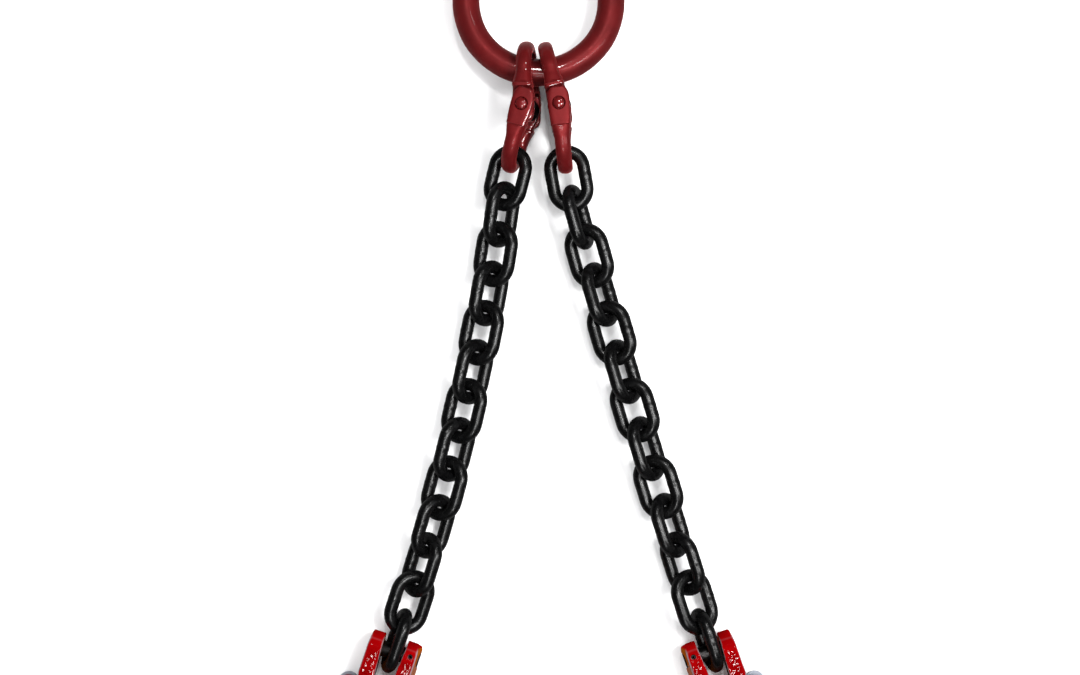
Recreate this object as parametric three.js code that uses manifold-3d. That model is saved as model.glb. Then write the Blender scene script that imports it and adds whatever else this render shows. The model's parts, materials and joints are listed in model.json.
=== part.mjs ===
// Two-leg welded-chain sling lying on a floor. Units are millimetres, +Z is up.
// The long way of the sling is Y: the master link is at +Y and the hooks are at -Y.
import * as THREE from 'three';
import { mergeVertices } from 'three/addons/utils/BufferGeometryUtils.js';
import Module from 'manifold-3d';

const wasm = await Module();
wasm.setup();

// Load chain, nominal size 10.
const CHAIN_WIRE = 9.5;
const CHAIN_PITCH = 30.4;
const CHAIN_INNER_WIDTH = 15.2;
const LINKS_PER_LEG = 13;

// Share of a leg's closing twist that each of its last four links has taken up.
const CLOSING_TWIST = [0.05, 0.4, 0.45, 1];

// Master link.
const MASTER_WIRE = 20;
const MASTER_INNER_WIDTH = 87;
const MASTER_INNER_LENGTH = 155;
const MASTER_LOW_CROWN_Z = 26.8;
const MASTER_TOP_CROWN_Z = 10.1;

// Two-part coupling link between the master link and the chain.
const COUPLER_BAR_DEPTH = 10.2;
const COUPLER_BAR_WIDTH = 11.4;
const COUPLER_CROWN_RADIUS = 19.2;
const COUPLER_PIN_TO_CROWN = 44;
const COUPLER_LUG_HALF_WIDTH = 8;
const COUPLER_LUG_REACH = 12;
const COUPLER_SHOULDER = 12.5;
const COUPLER_LUG_INNER = 12.6;
const COUPLER_LUG_SPLIT = 19.9;
const COUPLER_LUG_OUTER = 27.2;
const COUPLER_PIN_RADIUS = 4;
const COUPLER_AXIS_Z = 28.7;

// Play between a coupling link and the ring or the link that it holds.
const RING_PLAY = 1.7;
const LINK_PLAY = 1.5;
const LINK_SEAT_DROP = 2.3;

// Clevis sling hook.
const HOOK_PIN_RADIUS = 6;
const HOOK_EAR_TOP = 11.2;
const HOOK_LATCH_SIDE = 18.9;
const HOOK_PLAIN_SIDE = 21;
const HOOK_HALF_DEPTH = 13.8;
const HOOK_BOWL_CENTRE_Y = -90;
const HOOK_BOWL_RADIUS = 30;
const RETAINER_X = 13.6;
const RETAINER_Y = 3.4;
const RETAINER_RADIUS = 1.6;

// Height of the load pin, and of the bowl's middle, which touches the floor this far along.
const HOOK_PIN_Z = 18;
const HOOK_BOWL_REST_Z = 12.3;
const HOOK_REST_REACH = 128;

// Spring latch.
const LATCH_PIVOT = [-24, -34];
const LATCH_CHEEK_RADIUS = 7.6;
const LATCH_CHEEK_INNER = 7.8;
const LATCH_CHEEK_OUTER = 9.6;
const LATCH_RIVET_RADIUS = 2.5;

// Running clearance around pins and between touching links.
const CLEAR = 0.3;
const LINK_CLEAR = 0.55;

const LEGS = [
  {
    name: 'left',
    masterX: -8.5,
    upperHeading: -1,
    lowerHeading: -16,
    couplerRoll: -7,
    firstHeading: -14,
    heading: -7.2,
    headingStep: -1,
    oddRoll: -28,
    evenRoll: 47,
    startTwist: 6,
    lastRoll: -78,
    firstSlack: 2.4,
    slack: 0.35,
    hookHeading: -18.7,
    hookTurn: 0,
  },
  {
    name: 'right',
    masterX: 9,
    upperHeading: 13.8,
    lowerHeading: 5.5,
    couplerRoll: -2,
    firstHeading: 10.5,
    heading: 15.6,
    headingStep: 0.2,
    oddRoll: -22,
    evenRoll: 54,
    startTwist: 14,
    lastRoll: -78,
    firstSlack: 0.6,
    slack: 0.15,
    hookHeading: 19.4,
    hookTurn: 180,
  },
];

const COLOURS = {
  master: 0x7d2124,
  coupler: 0x86191d,
  chain: 0x141416,
  hook: 0xb9050c,
  zinc: 0xb9bcc2,
  steel: 0x55575b,
};

const sling = new THREE.Group();

const rad = (degrees) => (degrees * Math.PI) / 180;

// ---- solids ---------------------------------------------------------------

// Turns the faces outward if they face inward.
function faceOutward(geometry) {
  const position = geometry.getAttribute('position');
  const index = geometry.getIndex();
  const a = new THREE.Vector3();
  const b = new THREE.Vector3();
  const c = new THREE.Vector3();
  let volume = 0;
  for (let i = 0; i < index.count; i += 3) {
    a.fromBufferAttribute(position, index.getX(i));
    b.fromBufferAttribute(position, index.getX(i + 1));
    c.fromBufferAttribute(position, index.getX(i + 2));
    volume += a.dot(b.cross(c));
  }
  if (volume < 0) {
    for (let i = 0; i < index.count; i += 3) {
      const swap = index.getX(i);
      index.setX(i, index.getX(i + 1));
      index.setX(i + 1, swap);
    }
  }
  return geometry;
}

// A solid through a row of equal-sized outlines. A loop joins the last to the first.
function skin(rows, loop) {
  const sides = rows[0].length;
  const positions = [];
  const indices = [];
  for (const row of rows) {
    for (const point of row) {
      positions.push(point.x, point.y, point.z);
    }
  }
  const spans = loop ? rows.length : rows.length - 1;
  for (let i = 0; i < spans; i += 1) {
    const here = i * sides;
    const next = ((i + 1) % rows.length) * sides;
    for (let j = 0; j < sides; j += 1) {
      const k = (j + 1) % sides;
      indices.push(here + j, next + j, next + k);
      indices.push(here + j, next + k, here + k);
    }
  }
  if (!loop) {
    const last = (rows.length - 1) * sides;
    for (let j = 1; j < sides - 1; j += 1) {
      indices.push(0, j, j + 1);
      indices.push(last, last + j + 1, last + j);
    }
  }
  const geometry = new THREE.BufferGeometry();
  geometry.setAttribute('position', new THREE.Float32BufferAttribute(positions, 3));
  geometry.setIndex(indices);
  return faceOutward(geometry);
}

// One outline at a station of a flat path. `at` and `out` lie in the path's plane.
function outline(station, sides, phase, power) {
  const points = [];
  for (let j = 0; j < sides; j += 1) {
    const angle = (2 * Math.PI * (j + phase)) / sides;
    const c = Math.cos(angle);
    const s = Math.sin(angle);
    const u = station.half[0] * Math.sign(c) * Math.abs(c) ** (2 / power);
    const v = station.half[1] * Math.sign(s) * Math.abs(s) ** (2 / power);
    const x = station.at[0] + station.out[0] * u;
    const y = station.at[1] + station.out[1] * u;
    points.push(new THREE.Vector3(x, y, v));
  }
  return points;
}

// Stations of an oval ring: two half circles joined by straight bars.
function stadium(radius, halfStraight, segments, wire) {
  const stations = [];
  for (let end = 0; end < 2; end += 1) {
    const shift = end === 0 ? halfStraight : -halfStraight;
    for (let i = 0; i <= segments; i += 1) {
      const angle = Math.PI * (end + i / segments);
      const out = [Math.cos(angle), Math.sin(angle)];
      const at = [radius * out[0], radius * out[1] + shift];
      stations.push({ at, out, half: [wire / 2, wire / 2] });
    }
  }
  return stations;
}

// Leaves only the shape, with its matching corners joined.
function plain(geometry) {
  geometry.deleteAttribute('normal');
  geometry.deleteAttribute('uv');
  return mergeVertices(geometry, 1e-4);
}

function solid(geometry) {
  const clean = plain(geometry);
  const mesh = new wasm.Mesh({
    numProp: 3,
    vertProperties: new Float32Array(clean.getAttribute('position').array),
    triVerts: new Uint32Array(clean.getIndex().array),
  });
  return new wasm.Manifold(mesh);
}

// A solid as three.js geometry.
function finish(body) {
  const mesh = body.getMesh();
  const geometry = new THREE.BufferGeometry();
  const positions = new THREE.Float32BufferAttribute(mesh.vertProperties, 3);
  geometry.setAttribute('position', positions);
  geometry.setIndex(new THREE.Uint32BufferAttribute(mesh.triVerts, 1));
  return geometry;
}

// A straight-sided prism from a flat outline, standing between two heights.
function prism(points, low, high) {
  const shape = new THREE.Shape(points.map(([x, y]) => new THREE.Vector2(x, y)));
  const geometry = new THREE.ExtrudeGeometry(shape, { depth: high - low, bevelEnabled: false });
  geometry.translate(0, 0, low);
  return solid(geometry);
}

function rodZ(x, y, low, high, radius, sides) {
  const geometry = new THREE.CylinderGeometry(radius, radius, high - low, sides);
  geometry.rotateX(Math.PI / 2);
  geometry.translate(x, y, (low + high) / 2);
  return solid(geometry);
}

function arc(cx, cy, radius, from, to, steps) {
  const points = [];
  for (let i = 0; i <= steps; i += 1) {
    const angle = rad(from + ((to - from) * i) / steps);
    points.push([cx + radius * Math.cos(angle), cy + radius * Math.sin(angle)]);
  }
  return points;
}

// ---- the pieces, each in the frame of its own joint ------------------------

// Local origin: wire centre of the upper crown. The link hangs along -Y.
function linkGeometry() {
  const radius = (CHAIN_INNER_WIDTH + CHAIN_WIRE) / 2;
  const halfStraight = (CHAIN_PITCH - CHAIN_INNER_WIDTH) / 2;
  const stations = stadium(radius, halfStraight, 8, CHAIN_WIRE);
  const geometry = skin(stations.map((s) => outline(s, 8, 0, 2)), true);
  return geometry.translate(0, -(radius + halfStraight), 0);
}

// Local origin: wire centre of the lower crown.
function masterGeometry() {
  const radius = (MASTER_INNER_WIDTH + MASTER_WIRE) / 2;
  const halfStraight = (MASTER_INNER_LENGTH - MASTER_INNER_WIDTH) / 2;
  const stations = stadium(radius, halfStraight, 11, MASTER_WIRE);
  const geometry = skin(stations.map((s) => outline(s, 12, 0.5, 2)), true);
  return geometry.translate(0, radius + halfStraight, 0);
}

// Local origin: pin centre, pin along Z, crown at +Y. The inner lug is on the +Z side.
function couplerHalfGeometry() {
  const crownY = COUPLER_PIN_TO_CROWN - COUPLER_CROWN_RADIUS;
  const armZ = (COUPLER_LUG_INNER + COUPLER_LUG_OUTER) / 2;
  const armHalf = (COUPLER_LUG_OUTER - COUPLER_LUG_INNER) / 2;
  const arm = [
    { y: COUPLER_SHOULDER, z: armZ, half: [armHalf, COUPLER_LUG_HALF_WIDTH - 0.7] },
    { y: COUPLER_SHOULDER + 4, z: armZ, half: [armHalf, COUPLER_LUG_HALF_WIDTH - 0.9] },
    { y: crownY - 2, z: COUPLER_CROWN_RADIUS + 0.3, half: [5.9, 6.4] },
  ];
  const stations = [];
  for (const { y, z, half } of arm) {
    stations.push({ at: [z, y], out: [1, 0], half });
  }
  for (let i = 0; i <= 8; i += 1) {
    const angle = (Math.PI * i) / 8;
    const out = [Math.cos(angle), Math.sin(angle)];
    const at = [COUPLER_CROWN_RADIUS * out[0], crownY + COUPLER_CROWN_RADIUS * out[1]];
    stations.push({ at, out, half: [COUPLER_BAR_DEPTH / 2, COUPLER_BAR_WIDTH / 2] });
  }
  for (const { y, z, half } of arm.reverse()) {
    stations.push({ at: [-z, y], out: [-1, 0], half });
  }
  const rows = stations.map((s, i) => {
    const nearLug = i < 2 || i > stations.length - 3;
    return outline(s, 10, 0.5, nearLug ? 3.5 : 2.2);
  });
  const bow = skin(rows, false);
  bow.rotateY(-Math.PI / 2);

  const reach = arc(0, 0, COUPLER_LUG_REACH, -131.8, -48.2, 6);
  const w = COUPLER_LUG_HALF_WIDTH;
  const top = COUPLER_SHOULDER + 2;
  const tab = [[0.8 - w, top], [-w, 2], ...reach, [w, 2], [w - 0.8, top]];
  const inner = prism(tab, COUPLER_LUG_INNER, COUPLER_LUG_SPLIT - 0.2);
  const outer = prism(tab, -COUPLER_LUG_OUTER, -COUPLER_LUG_SPLIT - 0.2);
  const bore = rodZ(0, 0, -40, 40, COUPLER_PIN_RADIUS + CLEAR, 16);
  return finish(solid(bow).add(inner).add(outer).subtract(bore));
}

// A turned solid about Z from a closed line of radius and height.
function latheZ(profile, sides) {
  const points = profile.map(([r, z]) => new THREE.Vector2(r, z));
  const geometry = new THREE.LatheGeometry(points, sides);
  geometry.rotateX(Math.PI / 2);
  return faceOutward(plain(geometry));
}

// Headless load pin with domed ends.
function couplerPinGeometry() {
  const r = COUPLER_PIN_RADIUS;
  const end = COUPLER_LUG_OUTER;
  const half = [[r, end + 0.1], [r * 0.78, end + 0.8], [r * 0.4, end + 1.2], [0, end + 1.3]];
  const lower = half.map(([x, z]) => [x, -z]).reverse();
  return latheZ([...lower, ...half], 14);
}

// Spool that keeps the two inner lugs apart and locks the pin.
function couplerSleeveGeometry() {
  const bore = COUPLER_PIN_RADIUS + CLEAR;
  const end = COUPLER_LUG_INNER - 0.3;
  const outer = [[bore, -end], [8.6, -end], [8.6, -end + 3], [7, -end + 5.5]];
  const upper = outer.map(([x, z]) => [x, -z]).reverse();
  return latheZ([...outer, ...upper, [bore, -end]], 14);
}

// Local origin: load-pin centre, pin along X, opening towards -X, bowl at -Y.
function hookGeometry() {
  const back = [
    [1, -22, 16, 12],
    [4, -32.5, 15.5, 12],
    [12.5, -46, 13.8, 12],
    [23, -60, 12.6, 12],
    [28.8, -75, 12.6, 12],
  ];
  const stations = [];
  for (let i = 0; i < back.length; i += 1) {
    const before = back[Math.max(0, i - 1)];
    const after = back[Math.min(back.length - 1, i + 1)];
    const run = Math.hypot(after[0] - before[0], after[1] - before[1]);
    const out = [-(after[1] - before[1]) / run, (after[0] - before[0]) / run];
    stations.push({ at: [back[i][0], back[i][1]], out, half: [back[i][2], back[i][3]] });
  }
  for (const angle of [-4, -28, -53, -78, -102, -127, -151, -174]) {
    const out = [Math.cos(rad(angle)), Math.sin(rad(angle))];
    const thin = angle < -110 ? (angle + 110) / -64 : 0;
    const at = [HOOK_BOWL_RADIUS * out[0], HOOK_BOWL_CENTRE_Y + HOOK_BOWL_RADIUS * out[1]];
    stations.push({ at, out, half: [12.9 - 2 * thin, 12 - 1.4 * thin] });
  }
  stations.push({ at: [-29.8, -83], out: [-1, 0.04], half: [10, 9.8] });
  stations.push({ at: [-29.2, -76], out: [-1, 0.06], half: [8.2, 8.2] });
  stations.push({ at: [-28.4, -71], out: [-1, 0.08], half: [5, 5.2] });
  const bowl = skin(stations.map((s) => outline(s, 10, 0.5, 2.6)), false);

  const left = -HOOK_LATCH_SIDE;
  const right = HOOK_PLAIN_SIDE;
  const front = [
    [left, HOOK_EAR_TOP - 1.5], [left, -20], [-15.4, -26.5], [-12, -35], [0, -42],
    [14, -44], [right - 0.8, -34], [right, -20], [right, HOOK_EAR_TOP - 1.5],
    [right - 1.5, HOOK_EAR_TOP], [left + 1.5, HOOK_EAR_TOP],
  ];
  // Seen from the side, the ears end in a half oval about the load pin.
  const d = HOOK_HALF_DEPTH;
  const earEnd = arc(0, 0, 1, 90, 270, 10).map(([u, v]) => [HOOK_EAR_TOP * u, d * v]);
  const side = [
    ...earEnd, [14, -d], [30, 1.4 - d], [46, 1.8 - d], [46, d - 1.8], [30, d - 1.4], [14, d],
  ];
  const frontBody = prism(front, -20, 20);
  const sideBody = prism(side, -30, 30).rotate([0, 0, -90]).rotate([0, 90, 0]);
  const yoke = frontBody.intersect(sideBody);

  const [px, py] = LATCH_PIVOT;
  const bossOutline = [[-12, -24], [px + 2, py + 6.2], ...arc(px, py, 6.2, 110, 250, 6), [-9, -40]];
  const boss = prism(bossOutline, -7.3, 1.6);

  const notchOutline = [[-8.4, 12], [-6.9, -13], ...arc(0, -23.5, 6.5, -180, 0, 8), [6.9, -13], [8.4, 12]];
  const notch = prism(notchOutline, -30, 30);
  const pinBore = rodZ(0, 0, -30, 30, HOOK_PIN_RADIUS + CLEAR, 18).rotate([0, 90, 0]);
  const retainerBore = rodZ(RETAINER_X, RETAINER_Y, -30, 30, RETAINER_RADIUS + CLEAR, 10);
  const rivetBore = rodZ(px, py, -30, 30, LATCH_RIVET_RADIUS + CLEAR, 12);
  let body = solid(bowl).add(yoke).add(boss);
  for (const cut of [notch, pinBore, retainerBore, rivetBore]) {
    body = body.subtract(cut);
  }
  return finish(body);
}

function hookPinGeometry() {
  const r = HOOK_PIN_RADIUS;
  const low = 0.4 - HOOK_LATCH_SIDE;
  const high = HOOK_PLAIN_SIDE - 0.4;
  const profile = [
    [0, low], [r - 0.8, low], [r, low + 0.8], [r, high - 0.8], [r - 0.8, high], [0, high],
  ];
  const pin = solid(latheZ(profile, 18)).rotate([0, 90, 0]);
  return finish(pin.subtract(rodZ(RETAINER_X, RETAINER_Y, -10, 10, RETAINER_RADIUS + CLEAR, 10)));
}

// Slotless spring pin: an open tube through the ear and the load pin.
function retainerGeometry() {
  const r = RETAINER_RADIUS;
  const end = HOOK_HALF_DEPTH - 1.7;
  const tube = [[r - 0.7, -end], [r, -end], [r, end], [r - 0.7, end], [r - 0.7, -end]];
  return latheZ(tube, 10).translate(RETAINER_X, RETAINER_Y, 0);
}

// Local origin: rivet centre, rivet along Z. Pressed channel, open towards the bowl.
function latchGeometry() {
  const r = LATCH_CHEEK_RADIUS;
  const cheek = [[-1.2, -29], [3.5, -29], ...arc(0, 0, r, -8, 190, 10), [-6.3, -9]];
  const near = prism(cheek, LATCH_CHEEK_INNER, LATCH_CHEEK_OUTER);
  const far = prism(cheek, -LATCH_CHEEK_OUTER, -LATCH_CHEEK_INNER);
  const web = [
    [-7.5, -5], [-5.7, -5], [-4.6, -9], [4.4, -41.5], [5.2, -46], [3.4, -46], [2.6, -42], [-6.4, -9],
  ];
  const back = prism(web, -LATCH_CHEEK_OUTER, LATCH_CHEEK_OUTER);
  const bore = rodZ(0, 0, -20, 20, LATCH_RIVET_RADIUS + CLEAR, 12);
  return finish(near.add(far).add(back).subtract(bore));
}

function rivetGeometry() {
  const r = LATCH_RIVET_RADIUS;
  const face = LATCH_CHEEK_OUTER + CLEAR;
  const half = [[r, face], [4.4, face], [4, face + 1], [2.2, face + 1.7], [0, face + 1.9]];
  const lower = half.map(([x, z]) => [x, -z]).reverse();
  return latheZ([...lower, ...half], 10);
}

// Torsion spring: coil around the rivet, one leg lying along the latch.
function springGeometry() {
  const wire = 0.6;
  const coil = 3.9;
  const turns = 2.75;
  const steps = 28;
  const path = [];
  for (let i = 0; i <= steps; i += 1) {
    const angle = -Math.PI * 0.5 + (2 * Math.PI * turns * i) / steps;
    const z = 2.6 + (4 * i) / steps;
    path.push(new THREE.Vector3(coil * Math.cos(angle), coil * Math.sin(angle), z));
  }
  path.push(new THREE.Vector3(-3.9, -5, 6.6));
  path.push(new THREE.Vector3(-0.2, -20, 6.6));
  const rows = [];
  for (let i = 0; i < path.length; i += 1) {
    const before = path[Math.max(0, i - 1)];
    const after = path[Math.min(path.length - 1, i + 1)];
    const along = after.clone().sub(before).normalize();
    const side = new THREE.Vector3(0, 0, 1).cross(along).normalize();
    const up = along.clone().cross(side);
    const row = [];
    for (let j = 0; j < 5; j += 1) {
      const angle = (2 * Math.PI * j) / 5;
      const point = path[i].clone();
      point.addScaledVector(side, wire * Math.cos(angle));
      point.addScaledVector(up, wire * Math.sin(angle));
      row.push(point);
    }
    rows.push(row);
  }
  return skin(rows, false);
}

// ---- putting the sling together --------------------------------------------

// A frame whose -Y points along a heading (about Z) and dips by a pitch (about X).
function frame(parent, position, heading, pitch, roll) {
  const group = new THREE.Group();
  group.position.copy(position);
  group.rotation.order = 'ZXY';
  group.rotation.set(rad(pitch), rad(roll), rad(heading));
  parent.add(group);
  group.updateMatrixWorld(true);
  return group;
}

function place(parent, name, geometry, colour) {
  geometry.computeVertexNormals();
  const metal = colour === COLOURS.zinc || colour === COLOURS.steel ? 0.9 : 0.2;
  const material = new THREE.MeshStandardMaterial({ color: colour, metalness: metal, roughness: 0.4 });
  const mesh = new THREE.Mesh(geometry, material);
  mesh.name = name;
  parent.add(mesh);
  return mesh;
}

const MASTER_RADIUS = (MASTER_INNER_WIDTH + MASTER_WIRE) / 2;
const MASTER_CROWN_SPAN = MASTER_INNER_LENGTH + MASTER_WIRE;
const masterTilt = Math.asin((MASTER_LOW_CROWN_Z - MASTER_TOP_CROWN_Z) / MASTER_CROWN_SPAN);

function buildMaster() {
  const low = new THREE.Vector3(0, 0, MASTER_LOW_CROWN_Z);
  const group = frame(sling, low, 0, -masterTilt * (180 / Math.PI), 0);
  group.name = 'frame_master_link';
  place(group, 'master_link', masterGeometry(), COLOURS.master);
  return group;
}

function buildCoupler(leg, master) {
  const rise = MASTER_RADIUS - Math.sqrt(MASTER_RADIUS ** 2 - leg.masterX ** 2);
  const seat = master.localToWorld(new THREE.Vector3(leg.masterX, rise, 0));
  const upper = frame(sling, seat, leg.upperHeading, 0, leg.couplerRoll);
  upper.name = `frame_${leg.name}_coupler_upper`;

  // The coupling link swings about the ring's wire: this frame's X lies along it.
  const wire = Math.asin(leg.masterX / MASTER_RADIUS);
  const wireFrame = new THREE.Group();
  wireFrame.name = `frame_${leg.name}_wire`;
  wireFrame.position.set(leg.masterX, rise, 0);
  wireFrame.rotation.z = wire;
  master.add(wireFrame);

  const lift = COUPLER_AXIS_Z - seat.z;
  const reach = MASTER_WIRE / 2 + COUPLER_BAR_DEPTH / 2 + RING_PLAY;
  const pinPoint = upper.localToWorld(new THREE.Vector3(0, reach - COUPLER_PIN_TO_CROWN, lift));
  const pinFrame = frame(sling, pinPoint, leg.upperHeading, 0, leg.couplerRoll);
  pinFrame.name = `frame_${leg.name}_coupler_pin`;
  place(pinFrame, `${leg.name}_coupler_upper`, couplerHalfGeometry(), COLOURS.coupler);
  place(pinFrame, `${leg.name}_coupler_pin`, couplerPinGeometry(), COLOURS.coupler);
  place(pinFrame, `${leg.name}_coupler_sleeve`, couplerSleeveGeometry(), COLOURS.steel);

  const lower = new THREE.Group();
  lower.name = `frame_${leg.name}_coupler_lower`;
  lower.rotation.z = rad(leg.lowerHeading - leg.upperHeading);
  pinFrame.add(lower);
  const half = couplerHalfGeometry();
  half.rotateX(Math.PI);
  place(lower, `${leg.name}_coupler_lower`, half, COLOURS.coupler);
  lower.updateMatrixWorld(true);
  const play = COUPLER_BAR_DEPTH / 2 + CHAIN_WIRE / 2 + LINK_PLAY;
  return lower.localToWorld(new THREE.Vector3(0, play - COUPLER_PIN_TO_CROWN, -LINK_SEAT_DROP));
}

// Links lie turned by a quarter to each other; the last ones twist to suit the hook.
function linkRoll(leg, k) {
  const base = k % 2 === 1 ? leg.oddRoll : leg.evenRoll;
  const start = k < 3 ? leg.startTwist : 0;
  const share = CLOSING_TWIST[k - LINKS_PER_LEG + 3] ?? 0;
  return base + start - share * (leg.oddRoll - leg.lastRoll);
}

function buildChain(leg, start) {
  const step = CHAIN_PITCH - LINK_CLEAR - leg.slack;
  const settle = (Math.asin((start.z - HOOK_PIN_Z) / (3 * step)) * 180) / Math.PI;
  let seat = start.clone();
  let group = null;
  for (let k = 1; k <= LINKS_PER_LEG; k += 1) {
    const heading = k === 1 ? leg.firstHeading : leg.heading + leg.headingStep * (k - 1);
    const pitch = k <= 3 ? settle : 0;
    group = frame(sling, seat, heading, pitch, linkRoll(leg, k));
    const name = `${leg.name}_link_${String(k).padStart(2, '0')}`;
    group.name = `frame_${name}`;
    place(group, name, linkGeometry(), COLOURS.chain);
    const slack = k === 1 ? leg.firstSlack : 0;
    seat = group.localToWorld(new THREE.Vector3(0, slack - step, 0));
  }
  const crown = CHAIN_PITCH + CHAIN_WIRE;
  const inset = CHAIN_WIRE / 2 + HOOK_PIN_RADIUS + LINK_CLEAR;
  return group.localToWorld(new THREE.Vector3(0, inset - crown, 0));
}

function buildHook(leg, pinPoint) {
  const dip = (Math.asin((pinPoint.z - HOOK_BOWL_REST_Z) / HOOK_REST_REACH) * 180) / Math.PI;
  const group = frame(sling, pinPoint, leg.hookHeading, dip, leg.hookTurn);
  group.name = `frame_${leg.name}_hook`;
  place(group, `${leg.name}_hook_body`, hookGeometry(), COLOURS.hook);
  place(group, `${leg.name}_hook_pin`, hookPinGeometry(), COLOURS.steel);
  place(group, `${leg.name}_hook_retainer`, retainerGeometry(), COLOURS.steel);
  const pivot = new THREE.Group();
  pivot.name = `frame_${leg.name}_latch`;
  pivot.position.set(LATCH_PIVOT[0], LATCH_PIVOT[1], 0);
  group.add(pivot);
  place(pivot, `${leg.name}_latch_rivet`, rivetGeometry(), COLOURS.steel);
  place(pivot, `${leg.name}_latch`, latchGeometry(), COLOURS.zinc);
  place(pivot, `${leg.name}_latch_spring`, springGeometry(), COLOURS.steel);
}

const master = buildMaster();
for (const leg of LEGS) {
  const start = buildCoupler(leg, master);
  const pinPoint = buildChain(leg, start);
  buildHook(leg, pinPoint);
}

// The part's origin is on the floor, under the middle of the sling.
const bounds = new THREE.Box3().setFromObject(sling, true);
const middle = bounds.getCenter(new THREE.Vector3());
for (const child of sling.children) {
  child.position.sub(new THREE.Vector3(middle.x, middle.y, bounds.min.z));
}

export default sling;
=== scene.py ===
"""Looks of a two-leg chain sling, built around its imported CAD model.

Each CAD node is replaced by a finer piece that rides on the same body. A piece is made in
millimetres, in the frame of its own joint, and is then moved to that joint in the row frame.
"""

import json
import math

import bpy
import numpy as np
from mathutils import Matrix, Vector, noise


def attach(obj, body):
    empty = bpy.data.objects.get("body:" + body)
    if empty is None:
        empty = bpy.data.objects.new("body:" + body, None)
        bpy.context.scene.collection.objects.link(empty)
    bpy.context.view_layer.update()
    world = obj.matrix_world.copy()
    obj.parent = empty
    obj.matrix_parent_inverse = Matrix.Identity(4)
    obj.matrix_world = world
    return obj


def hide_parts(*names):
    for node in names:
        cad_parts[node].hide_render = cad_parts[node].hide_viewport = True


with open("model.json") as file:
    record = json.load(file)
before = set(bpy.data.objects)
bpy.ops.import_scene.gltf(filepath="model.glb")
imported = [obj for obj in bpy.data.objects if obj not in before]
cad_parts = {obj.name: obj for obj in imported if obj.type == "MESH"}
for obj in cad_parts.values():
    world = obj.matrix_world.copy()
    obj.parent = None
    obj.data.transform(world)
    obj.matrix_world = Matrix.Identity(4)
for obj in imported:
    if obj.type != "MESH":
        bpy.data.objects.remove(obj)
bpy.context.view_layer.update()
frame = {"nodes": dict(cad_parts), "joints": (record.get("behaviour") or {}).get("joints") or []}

MM = 0.001
LEGS = ("left", "right")
LINKS_PER_LEG = 13

# Load chain.
CHAIN_WIRE = 9.5
CHAIN_PITCH = 30.4
CHAIN_INNER_WIDTH = 15.2
WELD_SWELL = 0.03
WELD_HALF_LENGTH = 1.5
WELD_WANDER = 0.5
WELD_GROOVE_PLACE = 2.6
WELD_GROOVE_HALF_LENGTH = 0.9
WELD_GROOVE_SHARE = 0.35

# Master link.
MASTER_WIRE = 20.0
MASTER_INNER_WIDTH = 87.0
MASTER_INNER_LENGTH = 155.0
MASTER_WELD_SWELL = 0.03
MASTER_WELD_HALF_LENGTH = 3.2
RUBBED_WIDTH = 20
RUBBED_RISE = 2.2

# Coupling link: two bows on one pin. Depth is counted along the pin.
COUPLER_CROWN_RADIUS = 19.2
COUPLER_CROWN_Y = 24.8
COUPLER_BAR_HALF_DEPTH = 4.9
COUPLER_BAR_HALF_WIDTH = 5.45
COUPLER_BAR_SQUARENESS = 2.3
COUPLER_LUG_HALF = 8.0
COUPLER_LUG_END = 12.2
COUPLER_SHOULDER = 13.0
COUPLER_LUG_DEPTHS = (12.6, 19.7)
COUPLER_OUTER_DEPTHS = (20.1, 27.2)
COUPLER_LUG_SQUARENESS = 5.5
COUPLER_PIN_RADIUS = 4.0
DULL_ARM_START = 17
DULL_ARM_FADE = 3

# Clevis hook.
HOOK_PIN_RADIUS = 6.0
HOOK_EAR_TOP = 11.2
HOOK_LATCH_SIDE = 18.9
HOOK_PLAIN_SIDE = 21.0
HOOK_HALF_DEPTH = 13.8
HOOK_BOWL_CENTRE_Y = -90.0
HOOK_BOWL_RADIUS = 30.0
HOOK_BAR_SQUARENESS = 2.6
NOTCH_RADIUS = 6.9
NOTCH_FLOOR_Y = -30.4
FORGED_WAVE = 0.08
FORGED_WAVE_LENGTH = 7.0
PARTING_HEIGHT = 0.22
PARTING_HALF_WIDTH = 0.8
MARK_HEIGHT = 0.35
MARK_SIZE = 1.5
MARKED_ACROSS = (9.5, 17.5)
MARKED_LENGTHWISE = (-27, 1)
RETAINER_X = 13.6
RETAINER_Y = 3.4
RETAINER_RADIUS = 1.6
BORE_CLEARANCE = 0.3

# Latch.
LATCH_PIVOT = (-24.0, -34.0)
LATCH_BOSS_RADIUS = 6.2
LATCH_CHEEK_RADIUS = 7.6
LATCH_CHEEK_INNER = 7.8
LATCH_CHEEK_OUTER = 9.6
LATCH_RIVET_RADIUS = 2.5

# Colours. A pair is the dark and the bright end that a material clouds between.
COATING_BLACK = ((0.0016, 0.0016, 0.0017), (0.005, 0.005, 0.0053))
ENAMEL_RED = ((0.15, 0.0003, 0.0007), (0.205, 0.0005, 0.0011))
SIDE_WALL_BROWN = ((0.13, 0.027, 0.0013), (0.21, 0.046, 0.0022))
FLOOR_WHITE = ((0.90, 0.90, 0.90), (0.93, 0.93, 0.93))
# Grey of the highlight painted along the edges of the hook's side walls.
EDGE_HIGHLIGHT_GREY = (0.20, 0.165, 0.18)
FLOOR_IN_GLOSS = (0.10, 0.10, 0.10)
SHEEN_RED = (0.9, 0.10, 0.10)

# Places in a hook's own frame.
PIN_TO_X = Matrix.Rotation(math.pi / 2, 4, "Y")
TO_RETAINER = Matrix.Translation((RETAINER_X, RETAINER_Y, 0))
TO_LATCH_PIVOT = Matrix.Translation((*LATCH_PIVOT, 0))

JOINTS = {joint["name"]: joint for joint in frame["joints"]}


# ---- frames of the bodies ----------------------------------------------------


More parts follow.
